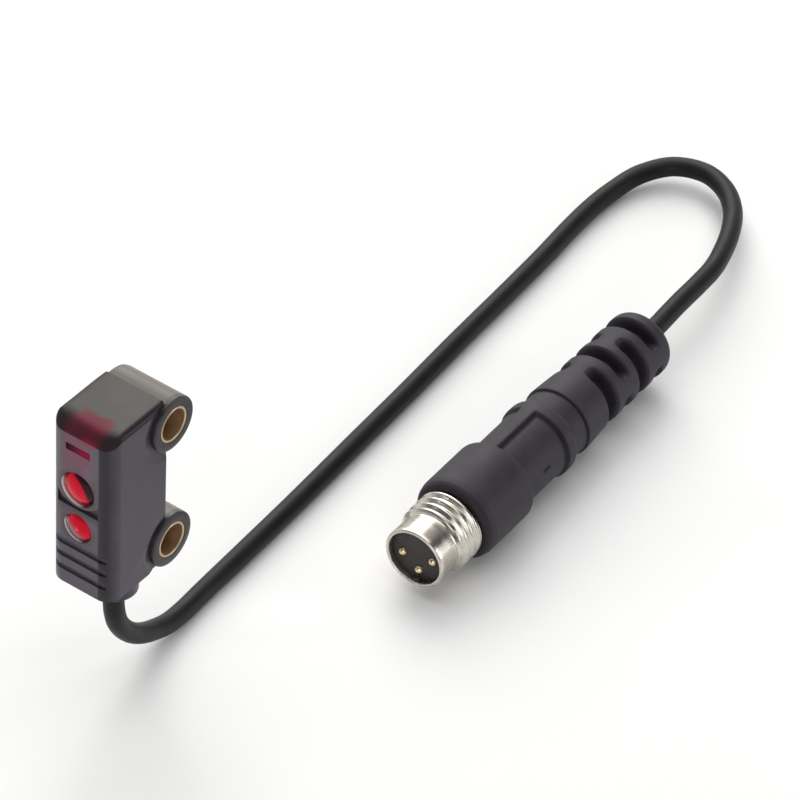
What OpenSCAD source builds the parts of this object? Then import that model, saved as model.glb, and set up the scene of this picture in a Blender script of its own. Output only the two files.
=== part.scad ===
// Miniature photoelectric sensor in a flat box with two cross-drilled mounting
// ears, a short moulded cable and a round three-pin plug.
//
// Frame: millimetres. +Z up, +X across the narrow body, -Y out of the lenses.
// The origin is the middle of the two mounting bores.

/* [Body] */
// Overall width, across the mounting ears
body_w = 8; // [7.6:0.1:8.6]
// How far each ear stands proud of the side wall
ear_proud = 0.15; // [0.1:0.05:0.3]
// Front face, measured forward from the bore axes
front_depth = 9.4; // [9:0.1:10]
// Back wall of the box, measured forward from the bore axes
back_depth = 0.6; // [0.5:0.1:0.9]
// Top face above the middle of the bores
top_h = 11; // [10.8:0.05:11.1]
// Bottom face of the box below the middle of the bores
bottom_h = 9.85; // [9.7:0.05:10]
// Radius of the two upright front corners
corner_r = 1.6; // [1.2:0.1:1.8]
// Wall thickness
wall = 0.8; // [0.7:0.05:0.9]

/* [Top cover] */
// Height of the cover's front lip
cover_lip = 1.3; // [1.25:0.05:1.5]
// Thickness of the cover over the sides
cover_t = 0.65; // [0.6:0.05:0.7]

/* [Mounting ears] */
// Distance between the two mounting bores
bore_spacing = 15; // [14.8:0.1:15.2]
// Outer radius of each ear
ear_r = 3.05; // [2.95:0.05:3.1]
// Outer diameter of the metal sleeves
sleeve_od = 4; // [3.8:0.1:4.2]
// Bore of the metal sleeves, clearance for an M3 screw
sleeve_id = 3.4; // [3.2:0.05:3.5]

/* [Optics] */
// Lens centres, measured sideways from the middle of the body
lens_x = -0.3; // [-0.4:0.1:0.3]
// Height of the large receiver lens
rx_z = 3.1; // [2.9:0.1:3.2]
// Diameter of the receiver lens dome
rx_d = 3.7; // [3.5:0.1:3.8]
// Height of the small emitter lens
tx_z = -1.9; // [-2.1:0.1:-1.8]
// Diameter of the emitter lens dome
tx_d = 3.1; // [2.9:0.1:3.2]
// Height of the indicator slot
slot_z = 8.1; // [8:0.1:8.2]
// Length of the indicator slot
slot_len = 3; // [2.6:0.1:3.2]

/* [Cable] */
// Diameter of the cable
cable_d = 2.2; // [2:0.1:2.4]
// Length of the round cable boss under the box
boss_len = 3.35; // [3.2:0.05:3.6]

/* [Plug] */
// Thread diameter of the plug's metal shell
thread_d = 8; // [7.9:0.05:8.05]
// Largest diameter of the moulded grip
grip_d = 9.6; // [9.4:0.1:9.7]
// Whole length of the plug
plug_len = 43; // [42.6:0.1:43.4]

/* [Hidden] */
$fn = 48;
e = 0.01;

hw = body_w / 2 - ear_proud;          // half width of the box
yf = -front_depth;
yb = -back_depth;
zt = top_h;
zb = -bottom_h;
ez = bore_spacing / 2;                // height of the ears
boss_r = 2.5;
boss_y = -4.1;
boss_z = zb - boss_len;               // end face of the boss
lip_z = zt - cover_lip;               // front seam of the cover
side_z = zt - cover_t;                // side seam of the cover
nose_r = 1.1;                         // roll of the cover's front edge
side_r = 0.75;                        // roll of its side edges
seam_y = -1.1;                        // back edge of the cover
plate_t = 0.9;                        // thickness of the two front plates
plate_x0 = -2.85;                     // the two front plates, centred on the lenses
plate_x1 = 2.25;
plate_bot = -4.1;
arc_r = 3.2;                          // rounded foot of the upper plate
arc_z = 0.85 + arc_r;
low_top = 0.5;                        // straight top edge of the lower plate
joint = 0.06;
groove_z = [-4.9, -6.55, -8.25];      // grip grooves low on the front

// cylinders along X and along Y
module cx(r, x0, x1) { translate([x0, 0, 0]) rotate([0, 90, 0]) cylinder(r = r, h = x1 - x0); }
module cy(r, y0, y1) { translate([0, y0, 0]) rotate([-90, 0, 0]) cylinder(r = r, h = y1 - y0); }
module box(a, b) { translate(a) cube(b - a); }

// plan of the box: two round upright corners at the front, small ones behind
module plan(inset) {
    x = hw - inset;
    f = yf + inset;
    b = yb - inset;
    r = corner_r - inset;
    for (s = [-1, 1]) {
        translate([s * (x - r), f + r]) circle(r = r);
        translate([s * (x - 0.5), b - 0.5]) circle(r = 0.5);
    }
    translate([-(x - r), f]) square([2 * (x - r), b - f]);
    translate([-x, f + r]) square([2 * x, b - 0.5 - (f + r)]);
    translate([-(x - 0.5), f + r]) square([2 * (x - 0.5), b - (f + r)]);
}

// shallow dished relief round an ear on both side faces
module ear_relief(z, r0, r1, depth) {
    for (s = [-1, 1]) translate([s * (hw + e), 0, z]) rotate([0, -s * 90, 0])
        cylinder(r1 = r0, r2 = r1, h = depth + e);
}

// ear barrel, proud on the sleeve side with a fine rim, flush and rolled on the other
module ear_outline() {
    h = body_w / 2;
    for (s = [-1, 1]) translate([0, 0, s * ez]) rotate([0, 90, 0]) rotate_extrude() polygon([
        [0, -hw], [ear_r - 0.6, -hw], [ear_r - 0.28, -hw + 0.08], [ear_r - 0.08, -hw + 0.28], [ear_r, -hw + 0.6],
        [ear_r, h - 0.2], [ear_r - 0.06, h - 0.06], [ear_r - 0.2, h], [0, h]]);
}

module housing() {
    color([0.27, 0.26, 0.29]) difference() {
        union() {
            difference() {
                union() {
                    translate([0, 0, zb]) linear_extrude(side_z - zb) plan(0);
                    // webs from the box into the ears
                    box([-hw, yb - 1.3, ez - ear_r], [hw, 0, ez + ear_r - 0.05]);
                    box([-hw, yb - 1.3, -ez - ear_r + 0.9], [hw, 0, -ez + ear_r]);
                }
                ear_relief(ez, 4.4, 3.5, 0.3);
                ear_relief(-ez, 4.1, 3.4, 0.25);
            }
            ear_outline();
            translate([0, boss_y, boss_z]) cylinder(r = boss_r, h = boss_len + 1);
        }
        // space for the cover: front lip, its slope round the corner, and the top
        rotate([90, 0, 90]) translate([0, 0, -hw - 1]) linear_extrude(2 * hw + 2) polygon([
            [yf - 1, lip_z], [yf + 0.15, lip_z], [yf + 1.5, side_z], [seam_y, side_z], [seam_y, zt + 1], [yf - 1, zt + 1]]);
        // main cavity, from under the cover down to the floor
        box([-hw + wall, yf + plate_t + 0.7, zb + 1.2], [hw - wall, -3.3, zt + 1]);
        box([-hw + wall, -3.4, -3.9], [hw - wall, yb - 0.7, 3.9]);
        // pocket for the two front plates
        box([plate_x0, yf - 1, plate_bot], [plate_x1, yf + plate_t, lip_z + e]);
        // light passages through the front wall
        translate([lens_x, 0, rx_z]) cy(1.5, yf, yf + 2.5);
        translate([lens_x, 0, tx_z]) cy(1.2, yf, yf + 2.5);
        box([lens_x - 1.2, yf, slot_z - 0.4], [lens_x + 1.2, yf + 2.5, slot_z + 0.4]);
        // ear bores
        translate([0, 0, ez]) cx(sleeve_od / 2, -body_w, body_w);
        translate([0, 0, -ez]) cx(sleeve_od / 2, -body_w, body_w);
        // cable way through the boss and the floor
        translate([0, boss_y, boss_z - 1]) cylinder(r = 1.7, h = boss_len + 3.5);
        // grip grooves wrapping the lower front
        for (z = groove_z) translate([0, 0, z]) linear_extrude(0.7) difference() {
            translate([-hw - 1, yf - 1]) square([2 * hw + 2, 1.3]);
            plan(0.22);
        }
        // small bevel round the end of the boss
        translate([0, boss_y, boss_z - e]) difference() {
            cylinder(r = boss_r + 1, h = 0.25);
            cylinder(r1 = boss_r - 0.25, r2 = boss_r, h = 0.25);
        }
    }
}

module top_cover() {
    color([0.45, 0.43, 0.40]) difference() {
        intersection() {
            // side view: bullnose front, flat top
            rotate([90, 0, 90]) translate([0, 0, -hw - 1]) linear_extrude(2 * hw + 2) {
                translate([yf + nose_r, zt - nose_r]) circle(r = nose_r);
                translate([yf, lip_z - 1]) square([nose_r + 1, cover_lip + 1 - nose_r]);
                translate([yf + nose_r, lip_z - 1]) square([seam_y - yf - nose_r, cover_lip + 1]);
            }
            // plan view
            translate([0, 0, lip_z - 0.5]) linear_extrude(cover_lip + 1) {
                for (s = [-1, 1]) translate([s * (hw - corner_r), yf + corner_r]) circle(r = corner_r);
                translate([-(hw - corner_r), yf]) square([2 * (hw - corner_r), corner_r + 1]);
                translate([-hw, yf + corner_r]) square([2 * hw, seam_y - yf - corner_r]);
            }
            // front view: rolled side edges
            rotate([90, 0, 0]) translate([0, 0, -1]) linear_extrude(front_depth + 2) {
                for (s = [-1, 1]) translate([s * (hw - side_r), zt - side_r]) circle(r = side_r);
                translate([-(hw - side_r), lip_z - 1]) square([2 * (hw - side_r), cover_lip + 1]);
                translate([-hw, lip_z - 1]) square([2 * hw, cover_lip + 1 - side_r]);
            }
        }
        // seam: level at the front lip, rising round the corners to the sides
        rotate([90, 0, 90]) translate([0, 0, -hw - 1]) linear_extrude(2 * hw + 2) polygon([
            [yf - 1, lip_z - 2], [yf - 1, lip_z], [yf + 0.15, lip_z], [yf + 1.5, side_z], [seam_y + 1, side_z], [seam_y + 1, lip_z - 2]]);
        ear_relief(ez, 4.4, 3.5, 0.3);
        // hollow over the light guide
        box([-2.5, yf + 1.65, lip_z - 1], [2.1, yf + 5, zt - 0.45]);
    }
}

// a plate in the front pocket; its left edge follows the body's round corner
module plate(z0, z1, back = 0) {
    translate([0, 0, z0]) linear_extrude(z1 - z0) intersection() {
        translate([plate_x0, yf + back]) square([plate_x1 - plate_x0, plate_t - back]);
        plan(0);
    }
}

module front_plate_upper() {
    color([0.36, 0.32, 0.34]) difference() {
        intersection() {
            plate(0, lip_z);
            union() {
                translate([lens_x, 0, arc_z]) cy(arc_r, yf - 1, yf + 2);
                box([plate_x0, yf - 1, arc_z], [plate_x1, yf + 2, lip_z]);
            }
        }
        // dished seat and through hole of the receiver lens
        translate([lens_x, 0, rx_z]) {
            cy(rx_d / 2, yf - 1, yf + 2);
            translate([0, yf - e, 0]) rotate([-90, 0, 0]) cylinder(r1 = rx_d / 2 + 0.2, r2 = rx_d / 2, h = 0.4);
        }
        slot_shape(yf - 1, yf + 2);
    }
}

module front_plate_lower() {
    color([0.31, 0.29, 0.31]) difference() {
        union() {
            plate(plate_bot, low_top);
            // recessed tongue that closes the gap under the upper plate
            plate(low_top - 0.1, 2.2, 0.45);
        }
        translate([lens_x, 0, arc_z]) cy(arc_r + joint, yf - 1, yf + 2);
        translate([lens_x, 0, tx_z]) {
            cy(tx_d / 2, yf - 1, yf + 2);
            translate([0, yf - e, 0]) rotate([-90, 0, 0]) cylinder(r1 = tx_d / 2 + 0.16, r2 = tx_d / 2, h = 0.35);
        }
    }
}

module slot_shape(y0, y1) {
    w = slot_len / 2;
    h = 0.42;
    c = 0.16;
    for (s = [-1, 1], t = [-1, 1]) translate([lens_x + s * (w - c), 0, slot_z + t * (h - c)]) cy(c, y0, y1);
    box([lens_x - w + c, y0, slot_z - h], [lens_x + w - c, y1, slot_z + h]);
    box([lens_x - w, y0, slot_z - h + c], [lens_x + w, y1, slot_z + h - c]);
}

// a lens: short barrel with a shallow dome turned to the front
module lens(d, sag, y0, y1) {
    big = (d * d / 4 + sag * sag) / (2 * sag);
    intersection() {
        translate([0, yf + y0, 0]) cy(d / 2, 0, y1 - y0);
        translate([0, yf + y0 + big, 0]) rotate([90, 0, 0]) sphere(r = big);
    }
}

module receiver_lens() { color([0.82, 0.08, 0.18]) translate([lens_x, 0, rx_z]) lens(rx_d, 0.6, -0.25, plate_t); }
module emitter_lens() { color([0.82, 0.08, 0.18]) translate([lens_x, 0, tx_z]) lens(tx_d, 0.45, -0.15, plate_t); }
module indicator_window() { color([0.45, 0.05, 0.22]) slot_shape(yf + 0.06, yf + plate_t); }

module sleeve() {
    color([0.80, 0.74, 0.62]) difference() {
        cx(sleeve_od / 2, -body_w / 2, body_w / 2);
        cx(sleeve_id / 2, -body_w, body_w);
    }
}
module upper_sleeve() { translate([0, 0, ez]) sleeve(); }
module lower_sleeve() { translate([0, 0, -ez]) sleeve(); }

opt_y = yf + plate_t + 0.7;           // inside of the front wall
pcb_y = opt_y + 2.4;                  // front face of the board

module optics_block() {
    color([0.12, 0.12, 0.13]) difference() {
        box([-2.6, opt_y, -3.6], [2.6, pcb_y, 5.3]);
        translate([lens_x, 0, rx_z]) cy(1.45, opt_y - 1, pcb_y + 1);
        translate([lens_x, 0, tx_z]) cy(1.15, opt_y - 1, pcb_y + 1);
    }
}

module light_guide() {
    color([0.85, 0.12, 0.22]) difference() {
        union() {
            box([-1.7, yf + 1.75, 7.3], [1.4, yf + 3.3, 9.2]);
            box([-2.3, yf + 1.75, 9.1], [1.9, yf + 4.7, zt - 0.55]);
            box([lens_x - 1.2, yf + plate_t, 7.75], [lens_x + 1.2, yf + 1.8, 8.45]);
        }
        box([-2, yf + 2.6, 7], [2, yf + 4, 8.4]);
    }
}

module circuit_board() { color([0.10, 0.32, 0.20]) box([-2.9, pcb_y, -8.2], [2.9, pcb_y + 0.6, 8.9]); }
module receiver_chip() { color([0.10, 0.10, 0.11]) box([lens_x - 1, pcb_y - 0.5, rx_z - 1], [lens_x + 1, pcb_y, rx_z + 1]); }
module emitter_led() {
    color([0.88, 0.86, 0.80]) translate([lens_x, 0, tx_z]) {
        cy(0.9, pcb_y - 0.8, pcb_y);
        intersection() {
            cy(0.9, pcb_y - 1.8, pcb_y - 0.7);
            translate([0, pcb_y - 0.8, 0]) sphere(r = 0.9);
        }
    }
}
module signal_led() { color([0.95, 0.75, 0.25]) box([-1.3, pcb_y - 0.45, 6.9], [-0.3, pcb_y, 7.9]); }
module power_led() { color([0.45, 0.80, 0.35]) box([0.3, pcb_y - 0.45, 6.9], [1.3, pcb_y, 7.9]); }
module logic_chip() { color([0.08, 0.08, 0.09]) box([-1.7, pcb_y + 0.6, -2.6], [1.7, pcb_y + 1.4, 1.8]); }
module teach_trimmer() {
    color([0.75, 0.72, 0.66]) difference() {
        union() {
            box([-1.2, pcb_y + 0.6, 6.2], [1.2, pcb_y + 1.3, 8.6]);
            translate([0, 0, 7.4]) cy(0.75, pcb_y + 1.2, pcb_y + 1.5);
        }
        box([-0.6, pcb_y + 1.35, 7.28], [0.6, pcb_y + 2, 7.52]);
    }
}

/* cable: bush in the boss, sheath end, three leads, free cable */
grom_top = zb + 0.9;
module cable_grommet() {
    color([0.16, 0.15, 0.16]) translate([0, boss_y, boss_z]) difference() {
        cylinder(r = 1.7, h = grom_top - boss_z);
        translate([0, 0, -1]) cylinder(r = cable_d / 2, h = 20);
    }
}
module cable_tail() {
    color([0.14, 0.13, 0.12]) translate([0, boss_y, boss_z]) difference() {
        cylinder(r = cable_d / 2, h = grom_top + 0.3 - boss_z);
        for (k = [0, 1, 2]) rotate(k * 120 + 90) translate([0.42, 0, grom_top - 0.9 - boss_z]) cylinder(r = 0.3, h = 3);
    }
}
module lead(k, zt1) {
    a = k * 120 + 90;
    x = 0.42 * cos(a);
    y = boss_y + 0.42 * sin(a);
    z0 = grom_top - 0.9;
    translate([x, y, z0]) cylinder(r = 0.3, h = zt1 - z0);
    translate([x, y, zt1]) sphere(r = 0.3);
    translate([x, y, zt1]) rotate([90, 0, 0]) cylinder(r = 0.3, h = y - pcb_y - 0.6);
}
module wire_brown() { color([0.40, 0.22, 0.12]) lead(0, -4.9); }
module wire_blue() { color([0.12, 0.25, 0.62]) lead(1, -7.2); }
module wire_black() { color([0.07, 0.07, 0.08]) lead(2, -6.2); }

/* plug: lies on the surface, its axis nearly along Y, metal end forward */
floor_z = -27.2;
plug_pos = [14.8, 26.1, floor_z + 4.8];
plug_turn = 2.3;
module at_plug() { translate(plug_pos) rotate([0, 0, plug_turn]) rotate([-90, 0, 0]) mirror([0, 1, 0]) children(); }
plug_dir = [-sin(plug_turn), cos(plug_turn), 0];

function lerp3(a, b, t) = a + (b - a) * t;
// Catmull-Rom through the route's points
function cr(p0, p1, p2, p3, t) = 0.5 * ((2 * p1) + (p2 - p0) * t + (2 * p0 - 5 * p1 + 4 * p2 - p3) * t * t + (3 * p1 - p0 - 3 * p2 + p3) * t * t * t);
function unit(v) = v / norm(v);

// route of the cable's centre line, from the boss to the back of the plug
lay_z = floor_z + cable_d / 2;
route = [[0, boss_y, boss_z], [0, -4.1, -15], [0, -3.9, -16.8], [-0.1, -3.3, -18.6],
         [-0.2, -2.2, -20.4], [-0.3, -0.7, -22.1], [-0.4, 1.1, -23.5], [-0.6, 3.2, -24.7],
         [-0.7, 5.6, -25.6], [-0.9, 8.4, -26.0], [-1.2, 12, lay_z], [-1.6, 19, lay_z],
         [-2.2, 29, lay_z], [-3, 40, lay_z], [-3.7, 50, lay_z], [-4.5, 60, lay_z],
         [-5.1, 69, lay_z], [-5.7, 77, lay_z], [-6.3, 83, lay_z], [-6.5, 87.4, lay_z + 0.1],
         [-6.3, 91.3, lay_z + 0.2], [-5.4, 95, lay_z + 0.6], [-3, 98, lay_z + 1.1],
         [0.7, 98.9, lay_z + 1.5], [4.3, 97.5, lay_z + 1.8], [7.1, 94.8, lay_z + 2.1],
         [9.1, 91.5, lay_z + 2.5], [10.6, 87.9, lay_z + 2.8], [11.7, 84.2, lay_z + 3.1],
         [12.2, 80.3, lay_z + 3.4], [12.5, 76.4, lay_z + 3.6],
         plug_pos + plug_dir * (plug_len + 2), plug_pos + plug_dir * plug_len];
nr = len(route);
function rp(i) = i < 0 ? 2 * route[0] - route[1] : (i > nr - 1 ? 2 * route[nr - 1] - route[nr - 2] : route[i]);
steps = 2;
path = [for (i = [0 : nr - 2], k = [0 : steps - 1]) cr(rp(i - 1), rp(i), rp(i + 1), rp(i + 2), k / steps),
        route[nr - 1]];
np = len(path);
sides = 8;
function tan_at(i) = i == 0 ? [0, 0, -1] : (i == np - 1 ? -plug_dir : unit(path[i + 1] - path[i - 1]));
// frame carried along the path without twist
function frames(i, n, acc) = i == np ? acc :
    let (t = tan_at(i), m = unit(n - t * (n * t))) frames(i + 1, m, concat(acc, [[m, cross(t, m)]]));
module sweep(r) {
    f = frames(0, [1, 0, 0], []);
    pts = [for (i = [0 : np - 1], k = [0 : sides - 1])
        path[i] + r * (cos(k * 360 / sides) * f[i][0] + sin(k * 360 / sides) * f[i][1])];
    faces = concat(
        [[for (k = [0 : sides - 1]) k]],
        [for (i = [0 : np - 2], k = [0 : sides - 1])
            [i * sides + k, (i + 1) * sides + k, (i + 1) * sides + (k + 1) % sides, i * sides + (k + 1) % sides]],
        [[for (k = [sides - 1 : -1 : 0]) (np - 1) * sides + k]]);
    polyhedron(points = pts, faces = faces, convexity = 6);
}
module cable() { color([0.14, 0.13, 0.12]) sweep(cable_d / 2); }

/* plug pieces, drawn along local +Z from the metal end */
insert_z = 0.75;
bore_r = 3.1;
mould_z = 6.9;
shell_end = 10;
pin_r = 1.85;
module plug_shell() {
    color([0.75, 0.74, 0.71]) at_plug() rotate_extrude() polygon(concat(
        [[bore_r, 0], [3.42, 0], [3.5, 0.1], [3.5, 2.8], [3.38, 2.95], [3.38, 3.15], [3.6, 3.4]],
        [for (k = [0 : 2]) each [[thread_d / 2 - 0.45, 3.55 + k], [thread_d / 2, 3.95 + k], [thread_d / 2, 4.1 + k]]],
        [[thread_d / 2 - 0.45, 6.6], [3.5, 6.7], [3.5, shell_end], [bore_r, shell_end]]));
}
module plug_insert() {
    color([0.17, 0.15, 0.15]) at_plug() difference() {
        union() {
            translate([0, 0, insert_z]) cylinder(r = bore_r, h = shell_end - insert_z);
            intersection() {
                cylinder(r = bore_r, h = insert_z + 0.1);
                rotate(-84) translate([2.7, -0.3, 0.2]) cube([1, 0.6, insert_z]);
            }
        }
        for (a = pin_a) rotate(a) translate([pin_r, 0, insert_z - 1]) cylinder(r = 0.5, h = 20);
    }
}
pin_a = [3, -167, -82];
module pin(a) {
    color([0.80, 0.70, 0.42]) at_plug() rotate(a) translate([pin_r, 0, 0]) {
        translate([0, 0, insert_z + 0.1]) cylinder(r = 0.5, h = shell_end - insert_z - 0.1);
        translate([0, 0, insert_z + 0.1]) sphere(r = 0.5);
    }
}
module contact_pin_1() { pin(pin_a[0]); }
module contact_pin_3() { pin(pin_a[1]); }
module contact_pin_4() { pin(pin_a[2]); }

gr = grip_d / 2;
slot_at = [31.55, 34.6, 37.4, 40.4];
module plug_overmould() {
    color([0.25, 0.24, 0.27]) at_plug() difference() {
        rotate_extrude() difference() {
            union() {
                polygon([[0, mould_z], [gr - 0.7, mould_z], [gr - 0.35, mould_z + 0.2], [gr - 0.12, mould_z + 0.6],
                         [gr, mould_z + 1.2], [gr, 14.8], [gr - 0.06, 14.95], [gr - 0.2, 15.05], [4.38, 15.1],
                         [4.36, 23.6], [4.3, 23.8], [4.1, 23.95], [3.86, 24.1], [3.84, 26.2], [3.87, 26.3],
                         [4.02, 26.36], [4.12, 26.5], [4.08, 27.4], [3.9, 30], [3.76, 31.5], [3.84, 32.5],
                         [3.86, 41.6], [3.84, plug_len - 0.8], [3.7, plug_len - 0.4], [3.4, plug_len - 0.1],
                         [3, plug_len], [0, plug_len]]);
            }
            translate([0, mould_z - 1]) square([3.5, shell_end - mould_z + 1]);
        }
        // finger recess all round, crossed by two flush bridges
        difference() {
            rotate_extrude() polygon([[4, 15.25], [6, 15.25], [6, 23.6], [5, 23.6], [4, 21.7]]);
            rotate(105) translate([-7, -0.95, 14]) cube([14, 1.9, 10]);
        }
        // short notch in the middle of the recess
        for (a = [15, 195]) rotate(a) translate([3.88, -0.12, 18]) cube([1, 0.24, 1.2]);
        // bend relief: opposite windows, turned by a quarter from row to row
        for (i = [0 : 3]) rotate(15 + 90 * i) translate([0, 0, slot_at[i] - 0.75]) intersection() {
            difference() {
                cylinder(r = 6, h = 1.5);
                translate([0, 0, -1]) cylinder(r = 2.3, h = 4);
            }
            union() {
                translate([1.3, -6, -1]) cube([8, 12, 4]);
                mirror([1, 0, 0]) translate([1.3, -6, -1]) cube([8, 12, 4]);
            }
        }
    }
}

housing();
top_cover();
front_plate_upper();
front_plate_lower();
receiver_lens();
emitter_lens();
indicator_window();
upper_sleeve();
lower_sleeve();
optics_block();
light_guide();
circuit_board();
receiver_chip();
emitter_led();
signal_led();
power_led();
logic_chip();
teach_trimmer();
cable_grommet();
cable_tail();
wire_brown();
wire_blue();
wire_black();
cable();
plug_shell();
plug_insert();
contact_pin_1();
contact_pin_3();
contact_pin_4();
plug_overmould();
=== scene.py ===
import math

import bpy
import bmesh
import numpy as np
from mathutils import Matrix, Vector


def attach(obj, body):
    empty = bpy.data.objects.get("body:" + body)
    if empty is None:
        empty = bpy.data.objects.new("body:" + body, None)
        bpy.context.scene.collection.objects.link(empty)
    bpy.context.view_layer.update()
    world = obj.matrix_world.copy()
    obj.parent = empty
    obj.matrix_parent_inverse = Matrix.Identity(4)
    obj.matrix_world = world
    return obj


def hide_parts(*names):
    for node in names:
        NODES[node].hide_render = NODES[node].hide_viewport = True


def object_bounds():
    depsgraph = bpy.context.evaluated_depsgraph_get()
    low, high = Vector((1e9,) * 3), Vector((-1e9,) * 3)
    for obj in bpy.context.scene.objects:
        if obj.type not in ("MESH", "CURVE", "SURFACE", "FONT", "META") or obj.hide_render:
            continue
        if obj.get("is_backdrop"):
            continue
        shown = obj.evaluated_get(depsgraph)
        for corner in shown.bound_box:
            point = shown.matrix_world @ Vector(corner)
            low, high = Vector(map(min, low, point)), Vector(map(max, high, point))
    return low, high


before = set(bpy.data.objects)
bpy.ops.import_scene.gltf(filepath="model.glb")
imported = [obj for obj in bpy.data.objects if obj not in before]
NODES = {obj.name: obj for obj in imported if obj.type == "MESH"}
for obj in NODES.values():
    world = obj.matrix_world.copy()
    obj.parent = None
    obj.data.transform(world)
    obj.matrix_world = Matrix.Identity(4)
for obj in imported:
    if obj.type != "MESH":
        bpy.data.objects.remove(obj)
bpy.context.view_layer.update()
MM = 0.001

# ------------------------------------------------------------------ camera
AZ, EL, ROLL = (math.radians(v) for v in (35.028, 41.018, 2.885))
T = Vector((-25.267, -6.366, -585.325))  # the frame's origin as the camera sees it, mm
back = Vector((math.sin(AZ) * math.cos(EL), -math.cos(AZ) * math.cos(EL), math.sin(EL)))
right = Vector((math.cos(AZ), math.sin(AZ), 0.0))
up = back.cross(right)
c, s = math.cos(ROLL), math.sin(ROLL)
cam_right = c * right + s * up
cam_up = -s * right + c * up
eye = -(cam_right * T.x + cam_up * T.y + back * T.z) * MM
cam_data = bpy.data.cameras.new("camera")
cam_data.sensor_fit = "HORIZONTAL"
cam_data.sensor_width = 36.0
cam_data.lens = 270.0
cam_data.clip_start = 0.01
cam_data.clip_end = 50.0
cam = bpy.data.objects.new("camera", cam_data)
bpy.context.scene.collection.objects.link(cam)
m = Matrix.Identity(4)
for i, axis in enumerate((cam_right, cam_up, back)):
    for r in range(3):
        m[r][i] = axis[r]
m.translation = eye
cam.matrix_world = m
bpy.context.scene.camera = cam


# ------------------------------------------------------------------ helpers
def link(obj):
    bpy.context.scene.collection.objects.link(obj)
    return obj


def mesh_object(name, verts, faces, material=None, smooth=True):
    me = bpy.data.meshes.new(name)
    me.from_pydata([tuple(v) for v in verts], [], [tuple(f) for f in faces])
    me.validate()
    bm = bmesh.new()
    bm.from_mesh(me)
    bmesh.ops.recalc_face_normals(bm, faces=bm.faces)
    bm.to_mesh(me)
    bm.free()
    me.polygons.foreach_set("use_smooth", [smooth] * len(me.polygons))
    ob = link(bpy.data.objects.new(name, me))
    if material:
        me.materials.append(material)
    return ob


def weighted(ob):
    mod = ob.modifiers.new("weighted_normals", "WEIGHTED_NORMAL")
    mod.mode = "FACE_AREA"
    mod.weight = 60
    mod.keep_sharp = True
    return ob


def mark_sharp(bm, angle=50.0):
    for e in bm.edges:
        e.smooth = not (e.is_manifold and e.calc_face_angle(0.0) > math.radians(angle))


def refine(node, name, material, bevel=0.1, segments=3, angle=25.0, sharp=None):
    """A detailed copy of a CAD node: joined up, flat faces merged, edges rounded."""
    src = NODES[node]
    bm = bmesh.new()
    bm.from_mesh(src.data)
    bmesh.ops.remove_doubles(bm, verts=bm.verts, dist=2e-7)
    bmesh.ops.dissolve_limit(bm, angle_limit=math.radians(0.7), verts=bm.verts, edges=bm.edges,
                             use_dissolve_boundaries=False)
    if bevel > 0:
        edges = [e for e in bm.edges if e.is_manifold and e.calc_face_angle(0.0) > math.radians(angle)
                 and not (sharp and all(sharp(v.co / MM) for v in e.verts))]
        geom = list({v for e in edges for v in e.verts}) + edges
        bmesh.ops.bevel(bm, geom=geom, offset=bevel * MM, offset_type="OFFSET", segments=segments,
                        profile=0.5, affect="EDGES", clamp_overlap=True, loop_slide=True)
    bmesh.ops.triangulate(bm, faces=[f for f in bm.faces if len(f.verts) > 4])
    bmesh.ops.recalc_face_normals(bm, faces=bm.faces)
    mark_sharp(bm)
    me = bpy.data.meshes.new(name)
    bm.to_mesh(me)
    bm.free()
    me.polygons.foreach_set("use_smooth", [True] * len(me.polygons))
    me.materials.append(material)
    ob = link(bpy.data.objects.new(name, me))
    weighted(ob)
    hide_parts(node)
    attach(ob, "root")
    return ob


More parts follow.
